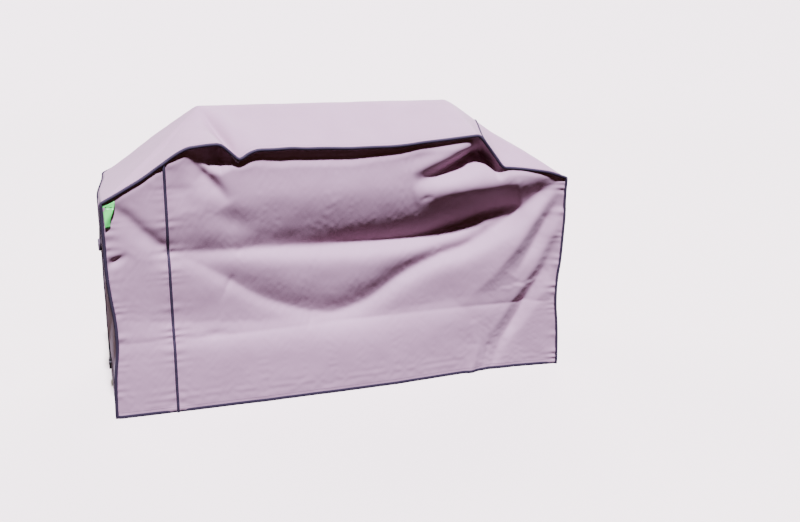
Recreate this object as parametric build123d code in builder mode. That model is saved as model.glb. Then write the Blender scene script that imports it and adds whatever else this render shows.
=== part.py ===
# Large cover for a cart grill, standing as it hangs over the grill: a tall skirt, shelf-high corners at
# the two ends, and a roof that rises over the hood to a short level crown.
# Millimetres, +Z up, +X to the viewer's right, front panel on the -Y side.
# The origin is on the ground under the middle of the cover.
import os

from build123d import *

# ---- driving dimensions -------------------------------------------------------------------------------
WIDTH = 2030.0            # over the two end panels
DEPTH = 700.0             # over the front and back panels
SIDE_HEIGHT = 905.0       # ground to the four shelf corners
HOOD_HALF = 610.0         # middle to a hood corner, along the front
HOOD_HEIGHT = 1118.0      # ground to the front and back eaves
CROWN_HALF = 570.0        # middle to an end of the crown line
CROWN_HEIGHT = 1236.0     # ground to the crown line
FABRIC = 2.0              # thickness that stands for one layer of cloth with its seam allowances

FRONT_SEAM_X = -768.0     # upright piped seam in the front panel
BACK_SEAM_X = 768.0       # the back panel is the same cutting, turned round
ROOF_SEAM_X = 620.0       # seam across the roof at one hood corner

BINDING = 1.5             # thickness of the tape folded over the hem
BINDING_HEIGHT = 12.0
BINDING_GAP = 0.3         # between the butted runs of the tape
OUTLINE_CORD = 4.0        # radius of the piping round the front and back outlines
SEAM_CORD = 3.0           # radius of the piping in the upright seams
ROOF_CORD = 2.5           # radius of the piping in the roof seam

LIFT = 0.3                # air between a moving piece and what it lies on
HINGE_GAP = 1.8           # air between a sewn strip and the piece that hangs from it

TAG_WIDTH = 26.0
TAG_LENGTH = 80.0
TAG_THICK = 2.4
TAG_TOP = 884.0

PATCH_WIDTH = 300.0       # handle patch, along the end panel
PATCH_HEIGHT = 110.0
PATCH_THICK = 1.5
HANDLE_Z = 745.0          # line that the handle swings about
HANDLE_SPAN = 170.0       # between the middles of its two legs
HANDLE_DROP = 88.0        # swing line to the middle of the grip
HANDLE_BEND = 34.0        # radius of the loop's two corners, on the middle of the webbing
HANDLE_LEAN = 4.6         # degrees that the hanging loop leans out from the panel
WEBBING = 28.0            # width of the handle webbing
WEBBING_THICK = 2.5
SEWN_END = 46.0           # length of webbing sewn down at each end
GRIP_LENGTH = 96.0
GRIP_HEIGHT = 34.0
GRIP_THICK = 13.0

STRAP = 25.0              # width of the cinch strap
STRAP_THICK = 1.6
STRAP_Z = 120.0           # middle of the strap above the ground
TAIL_LENGTH = 120.0       # free tail of the strap behind the plug
SOCKET_LENGTH = 44.0
SOCKET_WIDTH = 35.0
SOCKET_THICK = 10.0
SOCKET_WALL = 2.0
SOCKET_WINDOW = 14.0      # side openings where the prongs are squeezed
PLUG_BASE = 26.0          # length of the plug outside the socket
PLUG_WIDTH = 33.0
PLUG_THICK = 8.0
PRONG_LENGTH = 27.0
PRONG_WIDTH = 4.5
PRONG_THICK = 4.4
GUIDE_WIDTH = 5.0
SLOT_LENGTH = 4.0         # openings that the webbing is threaded through
SLOT_EDGE = 4.0           # plastic left beside a slot

VENT_X = 480.0            # middle of the cover to the middle of a vent
VENT_TOP = 1040.0         # line that a vent flap swings about
FLAP_WIDTH = 260.0
FLAP_HEIGHT = 112.0
FLAP_THICK = 2.0
MESH_WIDTH = 200.0
MESH_HEIGHT = 60.0
MESH_DROP = 34.0          # swing line to the top of the mesh window
HEADER_HEIGHT = 15.0

# ---- places worked out from them ----------------------------------------------------------------------
END_X = WIDTH / 2
FRONT_Y = -DEPTH / 2
BACK_Y = DEPTH / 2
TALL = CROWN_HEIGHT + 100.0


def roof_planes():
    """The eight faces that the stretched roof is made of, each a plane looking outwards."""
    planes = []
    for side in (-1, 1):
        slope_x = side * (CROWN_HEIGHT - SIDE_HEIGHT)
        planes.append(Plane(origin=(side * END_X, 0, SIDE_HEIGHT), z_dir=(slope_x, 0, END_X - CROWN_HALF)))
        slope_y = side * (CROWN_HEIGHT - HOOD_HEIGHT)
        planes.append(Plane(origin=(0, side * BACK_Y, HOOD_HEIGHT), z_dir=(0, slope_y, BACK_Y)))
        for face in (-1, 1):
            shelf = Vector(side * END_X, face * BACK_Y, SIDE_HEIGHT)
            hood = Vector(side * HOOD_HALF, face * BACK_Y, HOOD_HEIGHT)
            crown = Vector(side * CROWN_HALF, 0, CROWN_HEIGHT)
            normal = (shelf - hood).cross(crown - hood)
            planes.append(Plane(origin=hood, z_dir=normal if normal.Z > 0 else -normal))
    return planes


def cover_block(inset):
    """The closed shape of the stretched cover, with its walls and roof moved in by inset."""
    with BuildPart() as block:
        with BuildSketch(Plane.XY):
            Rectangle(WIDTH - 2 * inset, DEPTH - 2 * inset)
        extrude(amount=TALL)
        for plane in roof_planes():
            split(bisect_by=plane.offset(-inset), keep=Keep.BOTTOM)
    return block.part


def box_between(low, high):
    """A plain box from its lowest to its highest corner, outside any part."""
    size = [b - a for a, b in zip(low, high)]
    middle = [(a + b) / 2 for a, b in zip(low, high)]
    return Pos(*middle) * Box(*size, mode=Mode.PRIVATE)


def at_x(start, end, x):
    """The point of the straight edge from start to end that has this x."""
    share = (x - start[0]) / (end[0] - start[0])
    return tuple(a + share * (b - a) for a, b in zip(start, end))


def keep(part, name):
    """Name one finished piece and write it to its own STEP file."""
    part.label = name
    export_step(part, f"parts/{name}.step")


def keep_pair(part, name):
    """Write the piece at the right end of the cover and its mirror image at the left end."""
    keep(part, f"right_{name}")
    keep(mirror(part, about=Plane.YZ), f"left_{name}")


os.makedirs("parts", exist_ok=True)
block = cover_block(0)
hollow = cover_block(FABRIC)

with BuildPart() as cloth:
    add(block)
    add(hollow, mode=Mode.SUBTRACT)
    add(box_between((-WIDTH, -DEPTH, -1), (WIDTH, DEPTH, BINDING)), mode=Mode.SUBTRACT)

# ---- cloth panels ---------------------------------------------------------------------------------------
# The front and back panels are flat cuttings of the cover's profile, each pieced at one upright seam.
# The roof and the two ends are one long strip between them, pieced where the end panels begin and at
# the roof seam.
INNER_Y = BACK_Y - FABRIC
ROOF_BASE = SIDE_HEIGHT - FABRIC

with BuildPart() as front_main_panel:
    add(cloth.part)
    add(box_between((FRONT_SEAM_X, FRONT_Y, 0), (END_X, -INNER_Y, TALL)), mode=Mode.INTERSECT)
keep(front_main_panel.part, "front_main_panel")

with BuildPart() as front_left_panel:
    add(cloth.part)
    add(box_between((-END_X, FRONT_Y, 0), (FRONT_SEAM_X, -INNER_Y, TALL)), mode=Mode.INTERSECT)
keep(front_left_panel.part, "front_left_panel")


def vent_window(side):
    """The block that a mesh window fills in the back panel."""
    top = VENT_TOP - MESH_DROP
    low = (side * VENT_X - MESH_WIDTH / 2, INNER_Y, top - MESH_HEIGHT)
    return box_between(low, (side * VENT_X + MESH_WIDTH / 2, BACK_Y, top))


with BuildPart() as back_main_panel:
    add(cloth.part)
    add(box_between((-END_X, INNER_Y, 0), (BACK_SEAM_X, BACK_Y, TALL)), mode=Mode.INTERSECT)
    for side in (-1, 1):
        add(vent_window(side), mode=Mode.SUBTRACT)
keep(back_main_panel.part, "back_main_panel")

with BuildPart() as back_end_panel:
    add(cloth.part)
    add(box_between((BACK_SEAM_X, INNER_Y, 0), (END_X, BACK_Y, TALL)), mode=Mode.INTERSECT)
keep(back_end_panel.part, "back_end_panel")

with BuildPart() as side_panel:
    add(cloth.part)
    add(box_between((0, -INNER_Y, 0), (END_X, INNER_Y, ROOF_BASE)), mode=Mode.INTERSECT)
keep_pair(side_panel.part, "side_panel")

with BuildPart() as top_main_panel:
    add(cloth.part)
    add(box_between((-END_X, -INNER_Y, ROOF_BASE), (ROOF_SEAM_X, INNER_Y, TALL)), mode=Mode.INTERSECT)
keep(top_main_panel.part, "top_main_panel")

with BuildPart() as top_right_panel:
    add(cloth.part)
    add(box_between((ROOF_SEAM_X, -INNER_Y, ROOF_BASE), (END_X, INNER_Y, TALL)), mode=Mode.INTERSECT)
keep(top_right_panel.part, "top_right_panel")

# ---- piping ---------------------------------------------------------------------------------------------
# A cord in a strip of trim, sewn into each seam. Only its round outside shows, so the stretched cover
# is cut out of it.


def outline(y):
    """The profile of the front or back panel, from hem tape to hem tape."""
    shelf = [(-END_X, y, BINDING_HEIGHT), (-END_X, y, SIDE_HEIGHT), (-HOOD_HALF, y, HOOD_HEIGHT)]
    return shelf + [(-x, y, z) for x, y, z in reversed(shelf)]


with BuildPart() as front_outline_piping:
    with BuildLine():
        Polyline(*outline(FRONT_Y))
    with BuildSketch(Plane.XY.move(Location((-END_X, FRONT_Y, BINDING_HEIGHT)))):
        Circle(OUTLINE_CORD)
    sweep(transition=Transition.RIGHT)
    add(block, mode=Mode.SUBTRACT)
keep(front_outline_piping.part, "front_outline_piping")

with BuildPart() as back_outline_piping:
    add(mirror(front_outline_piping.part, about=Plane.XZ))
keep(back_outline_piping.part, "back_outline_piping")

with BuildPart() as front_seam_piping:
    with BuildSketch(Plane.XY.offset(BINDING_HEIGHT)):
        with Locations((FRONT_SEAM_X, FRONT_Y)):
            Circle(SEAM_CORD)
    extrude(amount=at_x((-END_X, SIDE_HEIGHT), (-HOOD_HALF, HOOD_HEIGHT), FRONT_SEAM_X)[1] - BINDING_HEIGHT)
    add(block, mode=Mode.SUBTRACT)
    add(front_outline_piping.part, mode=Mode.SUBTRACT)
keep(front_seam_piping.part, "front_seam_piping")

with BuildPart() as back_seam_piping:
    add(front_seam_piping.part.rotate(Axis.Z, 180))
keep(back_seam_piping.part, "back_seam_piping")

crown_end = (CROWN_HALF, 0, CROWN_HEIGHT)
roof_seam_half = [
    at_x((END_X, FRONT_Y, SIDE_HEIGHT), (HOOD_HALF, FRONT_Y, HOOD_HEIGHT), ROOF_SEAM_X),
    at_x((END_X, FRONT_Y, SIDE_HEIGHT), crown_end, ROOF_SEAM_X),
]

with BuildPart() as top_seam_piping:
    with BuildLine() as roof_seam:
        Polyline(*roof_seam_half, *[(x, -y, z) for x, y, z in reversed(roof_seam_half)])
    with BuildSketch(Plane(origin=roof_seam_half[0], z_dir=roof_seam.line % 0)):
        Circle(ROOF_CORD)
    sweep(transition=Transition.RIGHT)
    add(block, mode=Mode.SUBTRACT)
    add(front_outline_piping.part, mode=Mode.SUBTRACT)
    add(back_outline_piping.part, mode=Mode.SUBTRACT)
keep(top_seam_piping.part, "top_seam_piping")

# ---- hem binding ------------------------------------------------------------------------------------------
# A tape folded over the raw edge of the cloth, all round. It is what stands on the ground.
OUTSIDE = BINDING
INSIDE = FABRIC + BINDING

with BuildPart() as hem_binding:
    for side in (-1, 1):
        with Locations((0, side * (BACK_Y + (OUTSIDE - INSIDE) / 2), BINDING_HEIGHT / 2)):
            Box(WIDTH + 2 * OUTSIDE, OUTSIDE + INSIDE, BINDING_HEIGHT)
        with Locations((side * (END_X + (OUTSIDE - INSIDE) / 2), 0, BINDING_HEIGHT / 2)):
            Box(OUTSIDE + INSIDE, DEPTH - 2 * INSIDE - 2 * BINDING_GAP, BINDING_HEIGHT)
    add(cloth.part, mode=Mode.SUBTRACT)
keep(hem_binding.part, "hem_binding")

# ---- corner tag -------------------------------------------------------------------------------------------
# A folded ribbon, sewn in under the piping at the shelf corner, that hangs in front of the narrow panel.
# It bends along the round fold at its top.
TAG_X = -END_X + OUTLINE_CORD + 4.0 + TAG_WIDTH / 2

with BuildPart() as corner_tag:
    with BuildSketch(Plane.XZ.offset(-FRONT_Y + LIFT)):
        with Locations((TAG_X, TAG_TOP - TAG_LENGTH / 2)):
            RectangleRounded(TAG_WIDTH, TAG_LENGTH, 3.0)
    extrude(amount=TAG_THICK)
    with BuildSketch(Plane.YZ.offset(TAG_X - TAG_WIDTH / 2)):
        with Locations((FRONT_Y - LIFT - TAG_THICK / 2, TAG_TOP)):
            Circle(TAG_THICK / 2)
    extrude(amount=TAG_WIDTH)
keep(corner_tag.part, "corner_tag")

# ---- handles ----------------------------------------------------------------------------------------------
# One on each end panel: a patch, two sewn-down webbing ends, and below them the loop with its padded
# grip, which leans on the panel when nobody holds it. The loop bends at a round fold on top of each leg.
PATCH_X = END_X + PATCH_THICK
LEG_X = PATCH_X + LIFT + WEBBING_THICK / 2

with BuildPart() as handle_patch:
    with BuildSketch(Plane.YZ.offset(END_X)):
        with Locations((0, HANDLE_Z + PATCH_HEIGHT / 2 - SEWN_END / 2)):
            RectangleRounded(PATCH_WIDTH, PATCH_HEIGHT, 12.0)
    extrude(amount=PATCH_THICK)
keep_pair(handle_patch.part, "handle_patch")

with BuildPart() as handle_ends:
    with BuildSketch(Plane.YZ.offset(PATCH_X)):
        with Locations((0, HANDLE_Z + HINGE_GAP + SEWN_END / 2)):
            with GridLocations(HANDLE_SPAN, 1, 2, 1):
                Rectangle(WEBBING, SEWN_END)
    extrude(amount=WEBBING_THICK)
keep_pair(handle_ends.part, "handle_ends")

# The loop is drawn in a plane through the swing line, leaning out from the end panel.
swing_line = Plane(origin=(LEG_X, 0, HANDLE_Z), x_dir=(0, 1, 0), z_dir=(1, 0, 0))
loop_plane = Plane(swing_line.location * Location((0, 0, 0), (-HANDLE_LEAN, 0, 0)))
leg = HANDLE_SPAN / 2

with BuildPart() as handle_webbing:
    with BuildSketch(loop_plane.offset(-WEBBING_THICK / 2)):
        with BuildLine() as loop:
            FilletPolyline((-leg, 0), (-leg, -HANDLE_DROP), (leg, -HANDLE_DROP), (leg, 0),
                           radius=HANDLE_BEND)
        trace(line_width=WEBBING)
    extrude(amount=WEBBING_THICK)
    with BuildSketch(Plane.XZ.offset(-WEBBING / 2)):
        with Locations((LEG_X, HANDLE_Z)):
            Circle(WEBBING_THICK / 2)
    round_fold = extrude(amount=WEBBING, mode=Mode.PRIVATE)
    for side in (-1, 1):
        add(Pos(0, side * leg, 0) * round_fold)
keep_pair(handle_webbing.part, "handle_webbing")

with BuildPart() as handle_grip:
    with BuildSketch(loop_plane.offset(-GRIP_THICK / 2)):
        with Locations((0, -HANDLE_DROP)):
            RectangleRounded(GRIP_LENGTH, GRIP_HEIGHT, 6.0)
    extrude(amount=GRIP_THICK)
    long_edges = handle_grip.edges().filter_by(Axis.Y)
    fillet(long_edges, radius=GRIP_THICK / 2 - 0.6)
    add(handle_webbing.part, mode=Mode.SUBTRACT)
keep_pair(handle_grip.part, "handle_grip")

# ---- cinch straps -----------------------------------------------------------------------------------------
# Low on each end panel, two webbing straps come from the front and back seams and meet in a
# side-release buckle. The plug stands just clear of the strap that it is threaded on.
STRAP_X = END_X + STRAP_THICK
BUCKLE_X = STRAP_X + LIFT
SOCKET_BACK = -SOCKET_LENGTH
STRAP_END = BACK_Y - OUTLINE_CORD


def strap_between(start, end):
    """A length of the cinch strap lying on the right end panel."""
    half = STRAP / 2
    return box_between((END_X, start, STRAP_Z - half), (STRAP_X, end, STRAP_Z + half))


with BuildPart() as strap_front:
    add(strap_between(-STRAP_END, SOCKET_BACK + SLOT_EDGE))
keep_pair(strap_front.part, "strap_front")

with BuildPart() as strap_rear:
    add(strap_between(SLOT_EDGE, STRAP_END))
keep_pair(strap_rear.part, "strap_rear")

with BuildPart() as buckle_socket:
    with BuildSketch(Plane.YZ.offset(STRAP_X)):
        with Locations((SOCKET_BACK / 2, STRAP_Z)):
            RectangleRounded(SOCKET_LENGTH, SOCKET_WIDTH, 5.0)
    extrude(amount=SOCKET_THICK)
    rim = buckle_socket.faces().sort_by(Axis.X)[-1].edges()
    fillet(rim, radius=1.8)
    mouth = SOCKET_LENGTH - 3 * SLOT_EDGE
    inside = SOCKET_WIDTH / 2 - SOCKET_WALL
    low = (STRAP_X + SOCKET_WALL, -mouth, STRAP_Z - inside)
    add(box_between(low, (STRAP_X + SOCKET_THICK - SOCKET_WALL, 1, STRAP_Z + inside)), mode=Mode.SUBTRACT)
    for side in (-1, 1):
        with Locations((STRAP_X + SOCKET_THICK / 2, -mouth + 2 * SLOT_EDGE, STRAP_Z + side * SOCKET_WIDTH / 2)):
            Box(SOCKET_THICK - 2 * SOCKET_WALL, SOCKET_WINDOW, 2 * SOCKET_WALL + 2, mode=Mode.SUBTRACT)
    with Locations((STRAP_X + SOCKET_THICK / 2, SOCKET_BACK + 1.5 * SLOT_EDGE, STRAP_Z)):
        Box(2 * SOCKET_THICK, SLOT_LENGTH, STRAP + 1, mode=Mode.SUBTRACT)
keep_pair(buckle_socket.part, "buckle_socket")

PLUG_MIDDLE = BUCKLE_X + (SOCKET_THICK - LIFT) / 2
TAIL_X = BUCKLE_X + PLUG_THICK + LIFT

with BuildPart() as buckle_plug:
    with BuildSketch(Plane.YZ.offset(BUCKLE_X)):
        with Locations((LIFT + PLUG_BASE / 2, STRAP_Z)):
            RectangleRounded(PLUG_BASE, PLUG_WIDTH, 4.0)
    extrude(amount=PLUG_THICK)
    fillet(buckle_plug.faces().sort_by(Axis.X)[-1].edges(), radius=1.6)
    for offset in (0, 1):
        with Locations((PLUG_MIDDLE, LIFT + PLUG_BASE - (1.5 + 2 * offset) * SLOT_EDGE, STRAP_Z)):
            Box(2 * SOCKET_THICK, SLOT_LENGTH, STRAP + 1, mode=Mode.SUBTRACT)
    with BuildSketch(Plane.XZ.offset(-LIFT - 1)):
        with Locations((PLUG_MIDDLE, STRAP_Z)):
            Rectangle(PRONG_THICK, GUIDE_WIDTH)
            with GridLocations(1, SOCKET_WIDTH - 2 * SOCKET_WALL - PRONG_WIDTH - 2 * LIFT, 1, 2):
                Rectangle(PRONG_THICK, PRONG_WIDTH)
    extrude(amount=PRONG_LENGTH + 1)
keep_pair(buckle_plug.part, "buckle_plug")

with BuildPart() as strap_tail:
    start = LIFT + PLUG_BASE + LIFT
    half = STRAP / 2
    low = (STRAP_X + LIFT, start, STRAP_Z - half)
    add(box_between(low, (STRAP_X + LIFT + STRAP_THICK, start + TAIL_LENGTH, STRAP_Z + half)))
keep_pair(strap_tail.part, "strap_tail")

# ---- vents ------------------------------------------------------------------------------------------------
# High on the back, two mesh windows let damp air out. A flap hangs over each from a sewn strip, and
# bends along the round fold at its top.
for side, name in ((-1, "left"), (1, "right")):
    with BuildPart() as vent_mesh:
        add(vent_window(side))
    keep(vent_mesh.part, f"{name}_vent_mesh")

    with BuildPart() as vent_flap:
        with BuildSketch(Plane.XZ.offset(-BACK_Y - LIFT)):
            with Locations((side * VENT_X, VENT_TOP - FLAP_HEIGHT / 2)):
                RectangleRounded(FLAP_WIDTH, FLAP_HEIGHT, 8.0)
        extrude(amount=-FLAP_THICK)
        with BuildSketch(Plane.YZ.offset(side * VENT_X - FLAP_WIDTH / 2)):
            with Locations((BACK_Y + LIFT + FLAP_THICK / 2, VENT_TOP)):
                Circle(FLAP_THICK / 2)
        extrude(amount=FLAP_WIDTH)
    keep(vent_flap.part, f"{name}_vent_flap")

with BuildPart() as vent_flap_headers:
    with BuildSketch(Plane.XZ.offset(-BACK_Y)):
        with Locations((0, VENT_TOP + HINGE_GAP + HEADER_HEIGHT / 2)):
            with GridLocations(2 * VENT_X, 1, 2, 1):
                Rectangle(FLAP_WIDTH, HEADER_HEIGHT)
    extrude(amount=-FLAP_THICK)
keep(vent_flap_headers.part, "vent_flap_headers")
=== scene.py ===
import math

import bmesh
import bpy
import numpy as np
from mathutils import Matrix, Vector, noise
from mathutils.bvhtree import BVHTree


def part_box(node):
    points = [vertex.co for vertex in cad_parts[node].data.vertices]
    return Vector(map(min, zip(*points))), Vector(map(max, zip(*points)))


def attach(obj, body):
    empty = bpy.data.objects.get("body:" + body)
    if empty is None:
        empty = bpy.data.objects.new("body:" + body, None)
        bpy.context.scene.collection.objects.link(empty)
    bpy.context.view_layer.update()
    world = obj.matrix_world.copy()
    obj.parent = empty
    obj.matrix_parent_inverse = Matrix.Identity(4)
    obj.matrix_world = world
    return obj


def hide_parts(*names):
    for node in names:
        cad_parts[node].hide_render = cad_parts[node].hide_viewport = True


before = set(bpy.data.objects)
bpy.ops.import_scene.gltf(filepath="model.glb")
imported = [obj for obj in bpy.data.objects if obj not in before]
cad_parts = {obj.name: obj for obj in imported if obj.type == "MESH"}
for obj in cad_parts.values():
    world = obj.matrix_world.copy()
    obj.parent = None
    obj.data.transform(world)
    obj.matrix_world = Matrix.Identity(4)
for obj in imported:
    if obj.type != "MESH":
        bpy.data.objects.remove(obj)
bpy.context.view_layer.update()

# ---- The cover's cloth ------------------------------------------------------------------------------
# Eight panels of woven polyester with a coated back, cut flat and sewn into a tall tent over the grill.
# It is laid out here as one skin that knows its panels, given the folds it hangs in, then draped.
FRONT_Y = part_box("front_main_panel")[0].y
BACK_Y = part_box("back_main_panel")[1].y
END_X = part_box("right_side_panel")[1].x
FRONT_SEAM_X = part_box("front_main_panel")[0].x
BACK_SEAM_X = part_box("back_main_panel")[1].x
ROOF_SEAM_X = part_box("top_main_panel")[1].x
CROWN_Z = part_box("top_main_panel")[1].z
SHELF_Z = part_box("left_side_panel")[1].z + 0.002
HEM_Z = 0.002                  # the cloth's own edge, just off the ground inside its tape
CELL = 0.0125                  # spacing of the cloth's grid while it is draped
CROWN_LEFT = -0.586            # the taut crown line's two ends
CROWN_RIGHT = 0.550
CROWN_ROUND = 0.03             # the crown is rounded over about this much
VENT_X = 0.48                  # middle of the cover to the middle of each vent
LOOSE = 0.35                   # how firmly the grill's shape holds the free cloth, 1 being fixed
DRAPE_FRAMES = 14
PANELS = ["front_main_panel", "front_left_panel", "back_main_panel", "back_end_panel", "left_side_panel",
          "right_side_panel", "top_main_panel", "top_right_panel"]
FRONT, BACK, ENDS, ROOF = {0, 1}, {2, 3}, {4, 5}, {6, 7}        # places in the list above

# The front eave as it hangs, from the left shelf corner over the hood to the right shelf corner.
FRONT_EAVE = [(-1.015, 0.905), (-0.96, 0.934), (-0.86, 0.990), (-0.71, 1.092), (-0.67, 1.110), (-0.61, 1.119),
              (-0.545, 1.127), (-0.505, 1.100), (-0.46, 1.071), (-0.40, 1.087), (-0.25, 1.095), (0.0, 1.083),
              (0.16, 1.085), (0.37, 1.100), (0.575, 1.117), (0.60, 1.085), (0.645, 1.030), (0.69, 0.968),
              (0.80, 0.958), (0.93, 0.934), (1.015, 0.905)]
BACK_EAVE = [(-1.015, 0.905), (-0.80, 1.00), (-0.60, 1.112), (-0.30, 1.092), (0.05, 1.088), (0.35, 1.098),
             (0.60, 1.114), (0.78, 1.01), (1.015, 0.905)]


def ease(t):
    """0 to 1 with a soft start and end."""
    t = np.clip(t, 0, 1)
    return t * t * (3 - 2 * t)


def bump(t):
    """1 at 0, falling softly to nothing by about 2 on either side."""
    return np.exp(-t * t)


def height_of(line, x):
    """Height of a hanging edge at x, with its corners eased over a centimetre or two."""
    xs, zs = zip(*line)
    spread = (-0.010, 0.0, 0.010)
    return sum(np.interp(x + s, xs, zs) for s in spread) / len(spread)


def drawn_line(points, steps=12):
    """A smooth curve through given points, as many short steps."""
    p = np.array([points[0], *points, points[-1]], float)
    t = np.linspace(0, 1, steps, endpoint=False)[:, None]
    runs = []
    for a, b, c, d in zip(p, p[1:], p[2:], p[3:]):
        runs.append(0.5 * (2 * b + (c - a) * t + (2 * a - 5 * b + 4 * c - d) * t**2
                           + (3 * b - a - 3 * c + d) * t**3))
    return np.vstack([*runs, p[-1:]])


def fold(u, v, points, depths, left, right, crisp=2.0):
    """How deep one fold lies at (u, v): depths along its drawn line, fading over left and right of it."""
    line = drawn_line(points)
    share = np.linspace(0, 1, len(line))
    best = np.full(u.shape, 9.0)
    side = np.ones(u.shape)
    along = np.zeros(u.shape)
    for i in range(len(line) - 1):
        a, d = line[i], line[i + 1] - line[i]
        size = max(float(d @ d), 1e-12)
        t = np.clip(((u - a[0]) * d[0] + (v - a[1]) * d[1]) / size, 0, 1)
        du, dv = u - a[0] - t * d[0], v - a[1] - t * d[1]
        far = np.hypot(du, dv)
        near = far < best
        best = np.where(near, far, best)
        side = np.where(near, d[0] * dv - d[1] * du, side)
        along = np.where(near, share[i] + t * (share[i + 1] - share[i]), along)
    width = np.where(side > 0, left, right)
    return np.interp(along, np.linspace(0, 1, len(depths)), depths) * np.exp(-(best / width) ** crisp)


def front_depth(x, z):
    """How far the front panel lies behind its stretched plane, in metres."""
    # the hood pushes the cloth out in one long roll, and below it the cloth is drawn in to the cart
    roll = ease((x + 0.80) / 0.60) * ease((0.86 - x) / 0.30)
    deep = -0.013 * roll * bump((z - 0.90) / 0.085)
    line = [(-0.84, 0.700), (-0.63, 0.678), (-0.37, 0.674), (-0.10, 0.660), (0.27, 0.662), (0.48, 0.688),
            (0.60, 0.718), (0.70, 0.758), (0.80, 0.80)]
    deep += fold(x, z, line, (0.0, 0.024, 0.040, 0.058, 0.078, 0.092, 0.088, 0.062, 0.0), 0.094, 0.036, 1.45)
    # the skirt hangs forward to the hem at the left and middle, and is drawn back at the right
    lower = ease((0.66 - z) / 0.60)
    deep += lower * np.interp(x, (-1.015, -0.75, -0.4, -0.1, 0.2, 0.6, 0.8, 1.015),
                              (-0.006, -0.013, -0.015, -0.014, -0.008, 0.022, 0.024, 0.0))
    deep += fold(x, z, [(-0.98, 0.42), (-0.72, 0.39), (-0.35, 0.36), (0.0, 0.35), (0.35, 0.36), (0.70, 0.40)],
                 (0.008, 0.026, 0.034, 0.034, 0.024, 0.006), 0.190, 0.075, 1.7)
    # the swag: a hanging U from the seam to the right shelf corner
    swag = [(-0.77, 0.690), (-0.65, 0.630), (-0.52, 0.545), (-0.38, 0.450), (-0.22, 0.385), (-0.07, 0.360),
            (0.08, 0.400), (0.24, 0.500), (0.40, 0.570), (0.56, 0.615), (0.71, 0.695), (0.80, 0.756),
            (0.90, 0.838), (0.985, 0.900)]
    deep += fold(x, z, swag, (0.004, 0.016, 0.022, 0.024, 0.024, 0.026, 0.032, 0.042, 0.052, 0.058, 0.056,
                              0.052, 0.038, 0.006), 0.072, 0.036, 1.5)
    # second roll, from the middle of the front to the right shelf corner, with a ledge under it
    deep += fold(x, z, [(0.27, 0.858), (0.42, 0.880), (0.60, 0.895), (0.80, 0.905), (1.0, 0.900)],
                 (0.0, -0.016, -0.022, -0.018, 0.0), 0.055, 0.050)
    deep += fold(x, z, [(0.54, 0.688), (0.64, 0.720), (0.71, 0.752)], (-0.004, -0.022, -0.003), 0.018, 0.024)
    # dark hollow below the right hood corner, and the roll that hangs over it
    deep += fold(x, z, [(0.27, 0.918), (0.38, 0.948), (0.50, 0.988), (0.58, 1.022), (0.64, 1.01)],
                 (0.0, 0.038, 0.076, 0.096, 0.070), 0.036, 0.036, 1.5)
    deep += fold(x, z, [(0.25, 0.965), (0.38, 1.010), (0.52, 1.062)], (-0.004, -0.018, -0.014), 0.035, 0.030)
    # tension folds that fan out from the right shelf corner
    deep += fold(x, z, [(0.995, 0.890), (0.87, 0.740), (0.77, 0.600), (0.67, 0.480), (0.52, 0.330)],
                 (0.0, -0.020, -0.022, -0.014, 0.0), 0.050, 0.060, 1.6)
    deep += fold(x, z, [(0.995, 0.860), (0.975, 0.785), (0.940, 0.715), (0.900, 0.640), (0.865, 0.580),
                        (0.820, 0.515), (0.780, 0.455)],
                 (0.0, 0.020, 0.034, 0.034, 0.026, 0.012, 0.0), 0.026, 0.052, 1.6)
    deep += fold(x, z, [(0.978, 0.640), (0.968, 0.560), (0.948, 0.470), (0.908, 0.385), (0.852, 0.298),
                        (0.795, 0.218), (0.738, 0.140), (0.690, 0.020)],
                 (0.0, 0.018, 0.034, 0.042, 0.042, 0.034, 0.024, 0.010), 0.024, 0.060, 1.6)
    deep += fold(x, z, [(0.99, 0.78), (0.945, 0.62), (0.88, 0.48), (0.80, 0.36), (0.66, 0.16)],
                 (-0.002, -0.006, -0.008, -0.006, -0.003), 0.030, 0.026)
    deep += fold(x, z, [(0.58, 0.26), (0.60, 0.13), (0.575, 0.0)], (0.0, -0.010, -0.012), 0.022, 0.022)
    # the left hood corner: a valley that comes down from the peak, and a soft dent beside the seam
    deep += fold(x, z, [(-0.672, 1.090), (-0.61, 1.00), (-0.565, 0.945), (-0.52, 0.880)],
                 (0.004, 0.032, 0.026, 0.0), 0.022, 0.046, 1.6)
    deep += fold(x, z, [(-0.71, 1.03), (-0.715, 0.94), (-0.70, 0.85)], (0.004, 0.012, 0.0), 0.05, 0.05)
    deep += fold(x, z, [(-0.62, 0.86), (-0.50, 0.80), (-0.40, 0.78)], (0.0, 0.012, 0.0), 0.05, 0.05)
    # tension from the left shelf corner across the narrow panel
    deep += fold(x, z, [(-1.0, 0.895), (-0.93, 0.850), (-0.85, 0.765), (-0.77, 0.690)],
                 (0.0, 0.014, 0.020, 0.014), 0.030, 0.045, 1.6)
    deep += fold(x, z, [(-1.0, 0.66), (-0.955, 0.68), (-0.92, 0.70)], (0.010, 0.008, 0.0), 0.012, 0.016)
    return deep


def lip_out(x):
    """How far the front eave stands out over the front panel."""
    return -0.009 * ease((x + 0.70) / 0.09) * ease((0.74 - x) / 0.08) - 0.003


def edge_bow(y, z):
    """How far the left and right ends are drawn in, most at mid height by the front."""
    return 0.022 * bump((z - 0.36) / 0.17) * ease((0.30 - y) / 0.5)


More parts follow.
